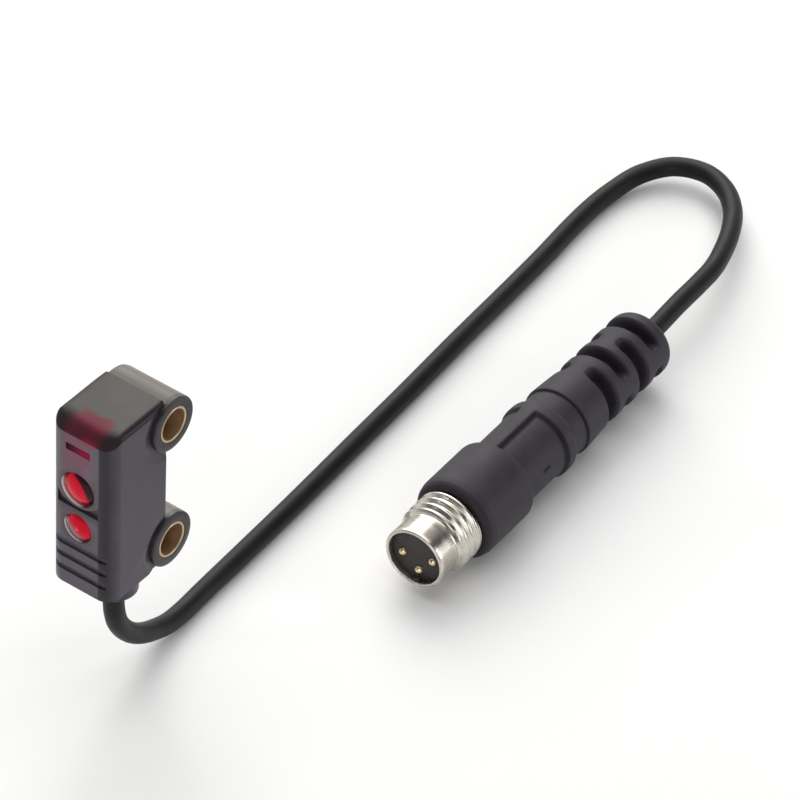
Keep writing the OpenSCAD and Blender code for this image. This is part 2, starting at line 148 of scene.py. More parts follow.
class Nodes:
    """Short names for building a material's nodes."""

    def __init__(self, name):
        self.mat = bpy.data.materials.new(name)
        self.mat.use_nodes = True
        self.tree = self.mat.node_tree
        self.tree.nodes.clear()
        self.out = self.add("ShaderNodeOutputMaterial")
        self.bsdf = self.add("ShaderNodeBsdfPrincipled")
        self.tree.links.new(self.bsdf.outputs[0], self.out.inputs[0])
        coord = self.add("ShaderNodeTexCoord")
        scale = self.add("ShaderNodeVectorMath")
        scale.operation = "SCALE"
        scale.inputs["Scale"].default_value = 1000.0
        self.tree.links.new(coord.outputs["Object"], scale.inputs[0])
        self.mm = scale.outputs[0]  # object coordinates in millimetres

    def add(self, kind):
        return self.tree.nodes.new(kind)

    def put(self, value, socket):
        if isinstance(value, bpy.types.NodeSocket):
            self.tree.links.new(value, socket)
        else:
            socket.default_value = value

    def set(self, **kw):
        for k, v in kw.items():
            self.put(v, self.bsdf.inputs[k.replace("_", " ")])
        return self

    def math(self, op, a, b=0.0, clamp=False):
        n = self.add("ShaderNodeMath")
        n.operation = op
        n.use_clamp = clamp
        self.put(a, n.inputs[0])
        self.put(b, n.inputs[1])
        return n.outputs[0]

    def xyz(self, vec=None):
        n = self.add("ShaderNodeSeparateXYZ")
        self.put(vec or self.mm, n.inputs[0])
        return n.outputs

    def span(self, value, a, b, lo=0.0, hi=1.0, smooth=True):
        n = self.add("ShaderNodeMapRange")
        n.interpolation_type = "SMOOTHSTEP" if smooth else "LINEAR"
        n.clamp = True
        for i, v in enumerate((value, a, b, lo, hi)):
            self.put(v, n.inputs[i])
        return n.outputs[0]

    def window(self, value, a, b, soft):
        """1 between a and b, falling to 0 over soft on each side."""
        return self.math("MULTIPLY", self.span(value, a - soft, a + soft), self.span(value, b - soft, b + soft, 1.0, 0.0))

    def noise(self, scale, detail=3.0, rough=0.5, vec=None, stretch=None, seed=0.0):
        n = self.add("ShaderNodeTexNoise")
        n.noise_dimensions = "3D"
        v = vec or self.mm
        if stretch or seed:
            mp = self.add("ShaderNodeMapping")
            mp.inputs["Scale"].default_value = stretch or (1, 1, 1)
            mp.inputs["Location"].default_value = (seed, seed * 0.7, -seed)
            self.put(v, mp.inputs[0])
            v = mp.outputs[0]
        self.put(v, n.inputs["Vector"])
        n.inputs["Scale"].default_value = scale
        n.inputs["Detail"].default_value = detail
        n.inputs["Roughness"].default_value = rough
        return n.outputs["Fac"]

    def mix(self, fac, a, b, blend="MIX"):
        n = self.add("ShaderNodeMix")
        n.data_type = "RGBA"
        n.blend_type = blend
        self.put(fac, n.inputs[0])
        self.put(a, n.inputs[6])
        self.put(b, n.inputs[7])
        return n.outputs[2]

    def radius(self, a, b, ca, cb):
        """Distance of (a, b) from the point (ca, cb)."""
        da, db = self.math("SUBTRACT", a, ca), self.math("SUBTRACT", b, cb)
        return self.math("SQRT", self.math("ADD", self.math("MULTIPLY", da, da), self.math("MULTIPLY", db, db)))

    def along(self, a, b, ca, cb, ka, kb):
        """How far (a, b) lies from (ca, cb) in the direction (ka, kb)."""
        return self.math("ADD", self.math("MULTIPLY", self.math("SUBTRACT", a, ca), ka),
                         self.math("MULTIPLY", self.math("SUBTRACT", b, cb), kb))

    def bump(self, height, strength=0.3, distance=0.02, normal=None):
        n = self.add("ShaderNodeBump")
        n.inputs["Strength"].default_value = strength
        n.inputs["Distance"].default_value = distance * MM
        self.put(height, n.inputs["Height"])
        if normal:
            self.put(normal, n.inputs["Normal"])
        return n.outputs[0]


def rgb(*v):
    """Linear colour from the sRGB values 0 to 255."""
    out = []
    for x in v:
        x = x / 255.0
        out.append(x / 12.92 if x <= 0.04045 else ((x + 0.055) / 1.055) ** 2.4)
    return tuple(out) + (1.0,)


def grained(name, dark, light, rough=(0.35, 0.5), grain=14.0, bump=0.15, dist=0.01, coat=0.0, coat_rough=0.15,
            spec=0.5, cloud=0.35, metallic=0.0):
    """Moulded plastic or rubber: soft cloudy tone, fine grain, uneven gloss."""
    n = Nodes(name)
    tone = n.noise(cloud, 3.0, 0.55)
    fine = n.noise(grain, 2.0, 0.6, seed=3.0)
    n.set(Base_Color=n.mix(n.span(tone, 0.3, 0.7), dark, light),
          Roughness=n.span(n.math("ADD", n.math("MULTIPLY", tone, 0.6), n.math("MULTIPLY", fine, 0.4)), 0.3, 0.7, rough[0], rough[1]),
          Normal=n.bump(fine, bump, dist), Metallic=metallic)
    n.bsdf.inputs["Coat Weight"].default_value = coat
    n.bsdf.inputs["Coat Roughness"].default_value = coat_rough
    n.bsdf.inputs["Specular IOR Level"].default_value = spec
    return n


# ------------------------------------------------------------------ cable
FLOOR = -27.2
CABLE_D = 2.2
LAY = FLOOR + CABLE_D / 2
TURN = math.radians(2.3)
PLUG_POS = Vector((14.8, 26.1, FLOOR + 4.8))
PLUG_DIR = Vector((-math.sin(TURN), math.cos(TURN), 0.0))
PLUG_LEN = 43.0
ROUTE = [(0, -4.1, -13.2), (0, -4.1, -15), (0, -3.9, -16.8), (-0.1, -3.3, -18.6),
         (-0.2, -2.2, -20.4), (-0.3, -0.7, -22.1), (-0.4, 1.1, -23.5), (-0.6, 3.2, -24.7),
         (-0.7, 5.6, -25.6), (-0.9, 8.4, -26.0), (-1.2, 12, LAY), (-1.6, 19, LAY),
         (-2.2, 29, LAY), (-3, 40, LAY), (-3.7, 50, LAY), (-4.5, 60, LAY),
         (-5.1, 69, LAY), (-5.7, 77, LAY), (-6.3, 83, LAY), (-6.5, 87.4, LAY + 0.1),
         (-6.3, 91.3, LAY + 0.2), (-5.4, 95, LAY + 0.6), (-3, 98, LAY + 1.1),
         (0.7, 98.9, LAY + 1.5), (4.3, 97.5, LAY + 1.8), (7.1, 94.8, LAY + 2.1),
         (9.1, 91.5, LAY + 2.5), (10.6, 87.9, LAY + 2.8), (11.7, 84.2, LAY + 3.1),
         (12.2, 80.3, LAY + 3.4), (12.5, 76.4, LAY + 3.6)]
ROUTE = [Vector(p) for p in ROUTE] + [PLUG_POS + PLUG_DIR * (PLUG_LEN + 2), PLUG_POS + PLUG_DIR * PLUG_LEN]


def spline(points, steps):
    n = len(points)

    def at(i):
        if i < 0:
            return 2 * points[0] - points[1]
        if i > n - 1:
            return 2 * points[-1] - points[-2]
        return points[i]

    out = []
    for i in range(n - 1):
        p0, p1, p2, p3 = at(i - 1), at(i), at(i + 1), at(i + 2)
        for k in range(steps):
            t = k / steps
            out.append(0.5 * ((2 * p1) + (p2 - p0) * t + (2 * p0 - 5 * p1 + 4 * p2 - p3) * t * t
                              + (3 * p1 - p0 - 3 * p2 + p3) * t ** 3))
    out.append(points[-1].copy())
    return out


path = spline(ROUTE, 6)


def tube(name, pts, radius, sides, material, first, last):
    """A round tube swept along pts without twist, with closed ends."""
    n = len(pts)
    verts, faces = [], []
    normal = Vector((1, 0, 0))
    for i, p in enumerate(pts):
        if i == 0:
            t = Vector(first)
        elif i == n - 1:
            t = Vector(last)
        else:
            t = (pts[i + 1] - pts[i - 1]).normalized()
        normal = (normal - t * normal.dot(t)).normalized()
        side = t.cross(normal)
        for k in range(sides):
            a = 2 * math.pi * k / sides
            verts.append((p + radius * (math.cos(a) * normal + math.sin(a) * side)) * MM)
    for i in range(n - 1):
        for k in range(sides):
            k2 = (k + 1) % sides
            faces.append((i * sides + k, i * sides + k2, (i + 1) * sides + k2, (i + 1) * sides + k))
    faces.append(tuple(range(sides)))
    faces.append(tuple((n - 1) * sides + k for k in reversed(range(sides))))
    return mesh_object(name, verts, faces, material)


sheath = grained("sheath", rgb(16, 12, 13), rgb(23, 19, 20), rough=(0.42, 0.52), grain=9.0, bump=0.1, dist=0.012, spec=0.22)
cable = tube("cable_sheath", path, CABLE_D / 2, 32, sheath.mat, (0, 0, -1), -PLUG_DIR)

# ------------------------------------------------------------------ plug pieces
EX = Vector((math.cos(TURN), math.sin(TURN), 0.0))
EZ = Vector((0.0, 0.0, 1.0))


def on_plug(r, a, z):
    return (PLUG_POS + EX * (r * math.cos(a)) + EZ * (r * math.sin(a)) + PLUG_DIR * z) * MM


def lathe(name, rows, columns, material):
    """rows: list of functions or numbers giving (radius, station) for each column's angle; closed round and end to end."""
    verts, faces = [], []
    for row in rows:
        for k in range(columns):
            a = 2 * math.pi * k / columns
            r, z = row(a) if callable(row) else row
            verts.append(on_plug(r, a, z))
    n = len(rows)
    for i in range(n):
        j = (i + 1) % n
        for k in range(columns):
            k2 = (k + 1) % columns
            faces.append((i * columns + k, i * columns + k2, j * columns + k2, j * columns + k))
    return mesh_object(name, verts, faces, material)


def smoothstep(x, a, b):
    t = min(1.0, max(0.0, (x - a) / (b - a)))
    return t * t * (3 - 2 * t)


# nickel shell with a real one-start helical thread
THREAD_R, ROOT_R, PITCH = 4.0, 3.5, 1.0


def thread_radius(z, a):
    u = (z - 3.62 - PITCH * a / (2 * math.pi)) / PITCH
    f = abs((u - math.floor(u)) - 0.5) * 2  # 0 on the crest, 1 in the root
    crest = 1 - smoothstep(f, 0.12, 0.93)
    run_in = smoothstep(z, 3.3, 3.75)
    body = 3.52 + 0.08 * run_in
    return body + (THREAD_R - body) * crest * run_in


shell_rows = [(3.1, 10.0), (3.1, 1.0), (3.1, 0.14), (3.13, 0.05), (3.2, 0.0), (3.3, -0.0), (3.41, 0.02), (3.47, 0.06),
              (3.5, 0.14), (3.5, 0.6), (3.5, 1.2), (3.5, 2.0), (3.5, 2.7), (3.49, 2.78), (3.43, 2.88), (3.39, 2.98), (3.39, 3.12), (3.44, 3.22)]
z = 3.3
while z < 6.85:
    shell_rows.append(lambda a, z=z: (thread_radius(z, a), z))
    z += 0.05
shell_rows += [(3.5, 6.92), (3.5, 8.0), (3.5, 10.0)]


def turned_metal(name, dark, light, rough, along, fine=38.0, bump=0.12):
    """Bare turned metal: rings round its axis as faint bands of tone and relief."""
    n = Nodes(name)
    d = n.add("ShaderNodeVectorMath")
    d.operation = "DOT_PRODUCT"
    n.put(n.mm, d.inputs[0])
    d.inputs[1].default_value = along
    station = d.outputs["Value"]
    comb = n.add("ShaderNodeCombineXYZ")
    n.put(station, comb.inputs[0])
    rings = n.noise(fine, 2.0, 0.6, vec=comb.outputs[0])
    smear = n.noise(0.9, 3.0, 0.6)
    n.set(Base_Color=n.mix(n.span(n.math("ADD", n.math("MULTIPLY", rings, 0.5), n.math("MULTIPLY", smear, 0.5)), 0.35, 0.65), dark, light),
          Roughness=n.span(smear, 0.3, 0.7, rough[0], rough[1]),
          Normal=n.bump(rings, bump, 0.012), Metallic=1.0)
    return n


nickel = turned_metal("nickel", rgb(190, 184, 173), rgb(220, 216, 207), (0.22, 0.32), PLUG_DIR)
x, y, zz = nickel.xyz()
st = nickel.math("SUBTRACT", nickel.math("ADD", nickel.math("MULTIPLY", x, PLUG_DIR.x), nickel.math("MULTIPLY", y, PLUG_DIR.y)), PLUG_POS.dot(PLUG_DIR))
# painted shade: the shell's nose band is darkened to tone down its highlight
col = nickel.bsdf.inputs["Base Color"].links[0].from_socket
nickel.set(Base_Color=nickel.mix(nickel.math("MULTIPLY", nickel.window(st, 0.35, 2.6, 0.3), 0.8), col, rgb(162, 156, 147)))
shell = lathe("threaded_shell", shell_rows, 144, nickel.mat)

# moulded grip: one surface whose radius depends on station and angle, edges softened as a mould leaves them
STEP = 0.1
COLS = 256
stations = np.arange(6.9, 43.0 + 1e-6, STEP)
profile_z = [6.9, 7.1, 7.5, 8.1, 14.5, 14.8, 15.0, 15.1, 15.16, 23.4, 23.7, 23.9, 24.0, 24.1, 26.2, 26.3, 26.36, 26.5, 27.4, 30.0,
             31.5, 32.5, 41.6, 42.2, 42.6, 42.9, 43.0]
profile_r = [4.1, 4.45, 4.68, 4.8, 4.8, 4.76, 4.66, 4.52, 4.38, 4.36, 4.3, 4.16, 4.0, 3.86, 3.84, 3.87, 4.02, 4.12, 4.08, 3.9,
             3.76, 3.84, 3.86, 3.84, 3.7, 3.4, 3.0]
BRIDGE = math.radians(105)
angles = np.arange(COLS) * 2 * math.pi / COLS
base = np.interp(stations, profile_z, profile_r)
R = np.repeat(base[:, None], COLS, axis=1)
S = np.repeat(stations[:, None], COLS, axis=1)
A = np.repeat(angles[None, :], len(stations), axis=0)
# finger recess all round, crossed by two flush bridges
floor_r = np.interp(S, [21.75, 22.4], [4.0, 4.36])
inside = (S > 15.1) & (S < 22.4) & (np.abs(R * np.sin(A - BRIDGE)) > 0.95)
R = np.where(inside, np.minimum(R, floor_r), R)
# bend relief: opposite windows with rounded ends, turned by a quarter from row to row
for i, at in enumerate((31.55, 34.6, 37.4, 40.4)):
    d = A - math.radians(15 + 90 * i)
    off = np.degrees(np.arcsin(np.clip(np.abs(np.sin(d)), 0, 1)))
    half = 0.78 * np.sqrt(np.clip(1 - (np.maximum(off - 46, 0) / 29) ** 2, 0, 1))
    u = np.clip((off - 58) / 18, 0, 1)
    floor_r = 2.3 + 1.6 * u * u * (3 - 2 * u)
    R = np.where(np.abs(S - at) < half, np.minimum(R, floor_r), R)


def soften(grid, sigma_z, sigma_a):
    """Gaussian blur: along the stations (ends held) and round the angle (closed)."""
    def kernel(sigma):
        k = np.arange(-int(3 * sigma) - 1, int(3 * sigma) + 2)
        w = np.exp(-0.5 * (k / sigma) ** 2)
        return k, w / w.sum()
    out = np.zeros_like(grid)
    for k, w in zip(*kernel(sigma_a)):
        out += w * np.roll(grid, k, axis=1)
    grid = out
    out = np.zeros_like(grid)
    rows = np.arange(len(grid))
    for k, w in zip(*kernel(sigma_z)):
        out += w * grid[np.clip(rows + k, 0, len(grid) - 1)]
    return out


front = stations < 8.4
blurred = soften(R, 1.0, 1.1)
R = np.where(front[:, None], R, blurred)
# short notch in the middle of the recess
notch = (np.abs(np.sin(A - math.radians(15))) * 4 < 0.14) & (S > 18.0) & (S < 19.2)
R = np.where(notch, R - 0.14, R)
mould_rows = [[(3.5, 10.0)] * COLS, [(3.5, 8.0)] * COLS, [(3.5, 6.92)] * COLS]
for z, line in zip(stations, R):
    mould_rows.append([(r, z) for r in line])
mould_rows += [[(2.2, 43.0)] * COLS, [(1.1, 42.97)] * COLS]


def grid_solid(name, rows, columns, material, close_first, close_last):
    verts, faces = [], []
    for row in rows:
        for k, (r, z) in enumerate(row):
            verts.append(on_plug(r, 2 * math.pi * k / columns, z))
    n = len(rows)
    for i in range(n - 1):
        for k in range(columns):
            k2 = (k + 1) % columns
            faces.append((i * columns + k, i * columns + k2, (i + 1) * columns + k2, (i + 1) * columns + k))
    if close_first:
        faces.append(tuple(reversed(range(columns))))
    if close_last:
        faces.append(tuple((n - 1) * columns + k for k in range(columns)))
    return mesh_object(name, verts, faces, material)


n = grained("overmould_grip_fine", rgb(41, 37, 44), rgb(49, 45, 52), rough=(0.5, 0.64), grain=11.0, bump=0.2, dist=0.015, spec=0.3)
x, y, zz = n.xyz()
st = n.math("SUBTRACT", n.math("ADD", n.math("MULTIPLY", x, PLUG_DIR.x), n.math("MULTIPLY", y, PLUG_DIR.y)), PLUG_POS.dot(PLUG_DIR))
ux = n.math("SUBTRACT", n.math("ADD", n.math("MULTIPLY", x, EX.x), n.math("MULTIPLY", y, EX.y)), PLUG_POS.dot(EX))
uz = n.math("SUBTRACT", zz, PLUG_POS.z)
rad = n.radius(ux, uz, 0.0, 0.0)
across = n.along(ux, uz, 0.0, 0.0, math.sin(BRIDGE), -math.cos(BRIDGE))  # sideways from the bridge's middle plane
# painted shade: the bend-relief windows, the recess foot and side walls, the groove line, the front nose and the notch
# are darkened where shade falls in them
in_window = n.math("MULTIPLY", n.span(rad, 3.3, 3.68, 1.0, 0.0), n.span(st, 30.2, 30.7))
foot = n.math("MULTIPLY", n.window(st, 21.85, 22.42, 0.14), n.span(n.math("ABSOLUTE", across), 0.95, 1.1))
foot = n.math("MULTIPLY", foot, n.span(rad, 4.3, 4.37, 1.0, 0.35))
line = n.math("MULTIPLY", n.window(st, 26.22, 26.46, 0.07), n.span(rad, 4.04, 4.14, 1.0, 0.3))
wall = n.math("MULTIPLY", n.window(across, 0.86, 1.3, 0.1), n.window(st, 15.0, 22.4, 0.2))
wall = n.math("MULTIPLY", wall, n.span(uz, 0.0, 1.0))
nose = n.span(st, 7.1, 7.8, 1.0, 0.0)
notch_dark = n.math("MULTIPLY", n.window(st, 18.0, 19.2, 0.1),
                    n.span(n.math("ABSOLUTE", n.along(ux, uz, 0.0, 0.0, -math.sin(math.radians(15)), math.cos(math.radians(15)))), 0.16, 0.26, 1.0, 0.0))
notch_dark = n.math("MULTIPLY", notch_dark, n.span(ux, 0.0, 1.0))
dark = n.math("MAXIMUM", n.math("MULTIPLY", in_window, 0.35), n.math("MULTIPLY", foot, 0.7))
dark = n.math("MAXIMUM", dark, n.math("MULTIPLY", line, 0.75))
dark = n.math("MAXIMUM", dark, n.math("MULTIPLY", wall, 0.7))
dark = n.math("MAXIMUM", dark, n.math("MULTIPLY", nose, 0.25))
dark = n.math("MAXIMUM", dark, n.math("MULTIPLY", notch_dark, 0.45))
plain = n.bsdf.inputs["Base Color"].links[0].from_socket
n.put(n.mix(dark, plain, rgb(16, 13, 17)), n.bsdf.inputs["Base Color"])
n.put(n.math("SUBTRACT", 0.3, n.math("MULTIPLY", dark, 0.2)), n.bsdf.inputs["Specular IOR Level"])
mould_mat = n
mould = grid_solid("moulded_grip", mould_rows, COLS, mould_mat.mat, True, True)

insert_mat = grained("plug_insulator", rgb(36, 28, 28), rgb(44, 37, 37), rough=(0.5, 0.62), grain=10.0, bump=0.1)
gold = turned_metal("pale_gold", rgb(214, 198, 152), rgb(232, 218, 178), (0.18, 0.28), PLUG_DIR, fine=20.0, bump=0.05)
insert = refine("plug_insert", "insulator", insert_mat.mat, bevel=0.05, segments=2)
pins = [refine(f"contact_pin_{k}", f"pin_{k}", gold.mat, bevel=0.0) for k in (1, 3, 4)]

for piece, node, slot in ((cable, "cable", "cable_jacket"), (shell, "plug_shell", "nickel_shell"), (mould, "plug_overmould", "overmould")):
    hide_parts(node)
    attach(piece, "root")
length = sum((b - a).length for a, b in zip(path, path[1:])) * MM

# ------------------------------------------------------------------ sensor body
# housing: smoked purple-grey plastic; painted shade darkens its rounded front corner, the groove valleys, the ear end
# faces and a ring round each ear, and painted light brightens the ear tops and the far ends of the grooves
n = grained("housing_plastic_fine", rgb(51, 46, 56), rgb(60, 55, 65), rough=(0.32, 0.42), grain=16.0, bump=0.1, dist=0.008, spec=0.33)
x, y, zz = n.xyz()
col = n.bsdf.inputs["Base Color"].links[0].from_socket
flat_front = n.math("MULTIPLY", n.span(y, -9.0, -9.3), n.span(x, 2.2, 2.36, 1.0, 0.0))
col = n.mix(n.math("MULTIPLY", flat_front, 0.95), col, rgb(76, 70, 80))
# painted shade: the rounded front corner is darkened
corner = n.math("MULTIPLY", n.math("MULTIPLY", n.span(x, 2.24, 2.32), n.span(x, 2.9, 3.75, 1.0, 0.0)), n.span(y, -7.9, -8.5))
col = n.mix(n.math("MULTIPLY", corner, 0.9), col, rgb(24, 14, 27))
# painted shade in the valleys of the grip grooves
valleys = None
for low in (-4.9, -6.55, -8.25):
    one = n.math("MULTIPLY", n.span(zz, low - 0.1, low + 0.55, 0.25, 1.0), n.window(zz, low, low + 0.72, 0.06))
    valleys = one if valleys is None else n.math("MAXIMUM", valleys, one)
valleys = n.math("MULTIPLY", n.math("MULTIPLY", valleys, n.span(y, -9.0, -9.12)), n.span(x, 2.2, 2.6, 1.0, 0.15))
col = n.mix(n.math("MULTIPLY", valleys, 0.6), col, rgb(22, 17, 23))
# painted light: the far ends of the grooves are lightened against their shade
ends = None
for low in (-4.9, -6.55, -8.25):
    one = n.window(zz, low - 0.02, low + 0.72, 0.04)
    ends = one if ends is None else n.math("MAXIMUM", ends, one)
ends = n.math("MULTIPLY", n.math("MULTIPLY", ends, n.window(x, 2.45, 2.85, 0.12)), n.span(y, -7.7, -8.2))
col = n.mix(n.math("MULTIPLY", ends, 0.6), col, rgb(62, 54, 64))
# painted light: lighter, warmer bands on the tops of the upper and lower ear barrels
ear_top_light = n.math("MULTIPLY", n.span(zz, 9.0, 10.3), n.span(y, -2.0, -1.1))
col = n.mix(n.math("MULTIPLY", ear_top_light, 0.9), col, rgb(84, 79, 70))
lower_ear_light = n.math("MULTIPLY", n.math("MULTIPLY", n.window(zz, -5.9, -4.0, 0.5), n.span(y, -0.6, 0.2)), n.span(n.math("ABSOLUTE", x), 3.7, 3.85, 1.0, 0.0))
col = n.mix(n.math("MULTIPLY", lower_ear_light, 0.8), col, rgb(122, 118, 108))
crown_light = n.math("MULTIPLY", n.span(zz, 9.2, 10.2), n.span(y, -0.6, 1.2))
col = n.mix(n.math("MULTIPLY", crown_light, 0.55), col, rgb(122, 116, 104))
# painted shade: the ear end faces and a ring round each ear are darkened
r_up, r_low = n.radius(y, zz, 0.0, 7.5), n.radius(y, zz, 0.0, -7.5)
face = n.math("MULTIPLY", n.span(n.math("ABSOLUTE", x), 3.72, 3.86), n.span(n.math("MINIMUM", r_up, r_low), 3.0, 3.1, 1.0, 0.0))
col = n.mix(n.math("MULTIPLY", face, 0.85), col, rgb(30, 24, 24))
arc = n.math("MULTIPLY", n.window(n.math("MINIMUM", r_up, r_low), 3.02, 3.34, 0.08), n.span(n.math("ABSOLUTE", x), 3.2, 3.4))
col = n.mix(n.math("MULTIPLY", arc, 0.7), col, rgb(24, 18, 24))
n.put(col, n.bsdf.inputs["Base Color"])
housing = refine("housing", "housing_shell", n.mat, bevel=0.12, segments=3,
                 sharp=lambda v: v.z > 9.68 and v.y < -1.0)

# top cover: warm smoked plastic with the red guide glowing through it, and painted shade along its rolled edges
n = Nodes("smoked_cover_fine")
x, y, zz = n.xyz()
tone = n.noise(0.35, 3.0, 0.55)
fine = n.noise(16.0, 2.0, 0.6, seed=5.0)
wob = n.noise(0.8, 2.0, 0.5, seed=9.0)
xs = n.math("ADD", x, n.math("MULTIPLY", n.math("SUBTRACT", wob, 0.5), 0.9))
ys = n.math("ADD", y, n.math("MULTIPLY", n.math("SUBTRACT", wob, 0.5), -0.7))
glow = n.math("MULTIPLY", n.window(xs, -1.7, 2.2, 0.7), n.window(ys, -8.3, -6.6, 0.45))
deep = n.math("MULTIPLY", n.window(xs, -1.9, 2.2, 0.7), n.window(y, -10.2, -7.9, 0.5))
spot = n.math("MULTIPLY", n.window(xs, 0.2, 1.9, 0.5), n.span(zz, 9.7, 10.5, 1.0, 0.0))
fold = n.along(xs, ys, -1.2, -4.3, 0.37, 0.93)  # faint line of the guide's far edge
seen = n.math("MULTIPLY", n.window(fold, -0.08, 0.06, 0.08), n.window(xs, -1.4, 3.0, 0.3))
col = n.mix(n.span(tone, 0.3, 0.7), rgb(53, 49, 45), rgb(61, 57, 53))
col = n.mix(n.math("MULTIPLY", n.span(n.math("ADD", x, n.math("MULTIPLY", y, 0.4)), -5.0, -0.5, 1.0, 0.0), 0.5), col, rgb(36, 31, 29))
col = n.mix(n.math("MULTIPLY", seen, 0.3), col, rgb(38, 35, 33))
# painted shade along the cover's rolled front and side edges
front_dark = n.span(y, -6.7, -8.5)
side_dark = n.span(n.math("ABSOLUTE", x), 3.0, 3.5)
edge_dark = n.math("MAXIMUM", side_dark, front_dark)
col = n.mix(n.math("MULTIPLY", edge_dark, 0.92), col, rgb(42, 33, 39))
col = n.mix(n.math("MULTIPLY", deep, 0.68), col, rgb(88, 30, 43))
col = n.mix(n.math("MULTIPLY", glow, 0.95), col, rgb(100, 22, 42))
col = n.mix(n.math("MULTIPLY", spot, 0.7), col, rgb(138, 18, 48))
n.set(Base_Color=col, Roughness=n.math("ADD", n.span(fine, 0.3, 0.7, 0.27, 0.33), n.math("MULTIPLY", front_dark, 0.2)), Normal=n.bump(fine, 0.06, 0.006))
n.put(n.math("SUBTRACT", 0.21, n.math("MULTIPLY", n.math("MAXIMUM", front_dark, n.math("MULTIPLY", n.math("MAXIMUM", side_dark, glow), 0.6)), 0.16)), n.bsdf.inputs["Specular IOR Level"])


def rounded_cover(name, material):
    """The cover with its front edge, side edges and front corners rolled into one another."""
    hw, yf, seam, zt, rc = 3.85, -9.4, -1.1, 11.0, 1.6
    rear = seam + 1.3  # built a little longer, then cut off at the seam

    def seam_z(y):
        return float(np.interp(y, [yf + 0.15, yf + 1.5], [9.7, 10.35]))

    outline = []  # x, y and the inward direction

    def run(x0, y0, x1, y1, nx, ny, count):
        for k in range(count):
            t = k / count
            outline.append((x0 + (x1 - x0) * t, y0 + (y1 - y0) * t, nx, ny))

    def corner_arc(cx, cy, a0, count=20):
        for k in range(count):
            a = math.radians(a0 + 90.0 * k / count)
            outline.append((cx + rc * math.cos(a), cy + rc * math.sin(a), -math.cos(a), -math.sin(a)))

    run(-(hw - rc), yf, hw - rc, yf, 0, 1, 16)
    corner_arc(hw - rc, yf + rc, -90)
    run(hw, yf + rc, hw, rear - rc, -1, 0, 28)
    corner_arc(hw - rc, rear - rc, 0)
    run(hw - rc, rear, -(hw - rc), rear, 0, -1, 16)
    corner_arc(-(hw - rc), rear - rc, 90)
    run(-hw, rear - rc, -hw, yf + rc, 1, 0, 28)
    corner_arc(-(hw - rc), yf + rc, 180)
    rings = []
    for d in (1.53, 1.5, 1.2, 0.8, 0.4, 0.0):  # underside, from the shallow hollow out to the seam
        ring = []
        for x, y, nx, ny in outline:
            px_, py_ = x + nx * d, y + ny * d
            ring.append((px_, py_, 10.55 if d > 1.51 else seam_z(py_)))
        rings.append(ring)
    for k in range(0, 11):  # rolled edge
        a = math.radians(9.0 * k)
        ring = []
        for x, y, nx, ny in outline:
            r = zt - seam_z(y) - 0.04
            d = r * (1 - math.cos(a))
            ring.append((x + nx * d, y + ny * d, zt - r * (1 - math.sin(a))))
        rings.append(ring)
    count = len(outline)
    bm = bmesh.new()
    grid = []
    for ring in rings:
        row = []
        for x, y, z in ring:
            # dished round the upper ear
            depth = 0.3 * min(1.0, max(0.0, (4.4 - math.hypot(y, z - 7.5)) / 0.9))
            x = math.copysign(min(abs(x), hw - depth), x)
            row.append(bm.verts.new((x * MM, y * MM, z * MM)))
        grid.append(row)
    for lower, higher in zip(grid, grid[1:]):
        for k in range(count):
            k2 = (k + 1) % count
            bm.faces.new((lower[k], lower[k2], higher[k2], higher[k]))
    bm.faces.new(list(reversed(grid[0])))
    bm.faces.new(grid[-1])
    bmesh.ops.bisect_plane(bm, geom=bm.verts[:] + bm.edges[:] + bm.faces[:], dist=1e-7, plane_co=(0, seam * MM, 0),
                           plane_no=(0, 1, 0), clear_outer=True, clear_inner=False)
    bmesh.ops.holes_fill(bm, edges=[e for e in bm.edges if e.is_boundary], sides=0)
    bmesh.ops.remove_doubles(bm, verts=bm.verts, dist=2e-7)
    bmesh.ops.triangulate(bm, faces=[f for f in bm.faces if len(f.verts) > 4])
    bmesh.ops.recalc_face_normals(bm, faces=bm.faces)
    mark_sharp(bm)
    me = bpy.data.meshes.new(name)
    bm.to_mesh(me)
    bm.free()
    me.polygons.foreach_set("use_smooth", [True] * len(me.polygons))
    me.materials.append(material)
    ob = link(bpy.data.objects.new(name, me))
    weighted(ob)
    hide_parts("top_cover")
    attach(ob, "root")
    return ob


cover = rounded_cover("smoked_top_cover", n.mat)

# front plates: the same plastic with a red tint that spreads from the lenses; painted shade lies along the joint
# between the plates, and painted light and shade on the lens seats
n = Nodes("front_plastic_fine")
x, y, zz = n.xyz()
tone = n.noise(0.5, 3.0, 0.55)
fine = n.noise(16.0, 2.0, 0.6, seed=7.0)
tint = n.math("MULTIPLY", n.math("MULTIPLY", n.span(zz, 4.2, 6.9), n.span(zz, 8.3, 9.4, 1.0, 0.5)), n.window(x, -2.1, 1.2, 0.8))
high = n.math("MULTIPLY", n.span(zz, 8.7, 9.6), n.window(x, -1.4, 1.9, 0.6))
r_big = n.radius(x, zz, -0.3, 3.1)
r_small = n.radius(x, zz, -0.3, -1.9)
low_left = n.span(n.math("DIVIDE", n.along(x, zz, -0.3, 3.1, -0.75, -0.66), r_big), 0.25, 0.75)
low_left2 = n.span(n.math("DIVIDE", n.along(x, zz, -0.3, -1.9, -0.75, -0.66), r_small), 0.25, 0.75)
seat_big = n.span(r_big, 1.99, 2.06, 1.0, 0.0)
seat_small = n.span(r_small, 1.65, 1.71, 1.0, 0.0)
rim_glow = n.math("MULTIPLY", n.span(n.math("MINIMUM", r_big, n.math("ADD", r_small, 0.35)), 2.0, 2.8, 1.0, 0.0), 0.5)
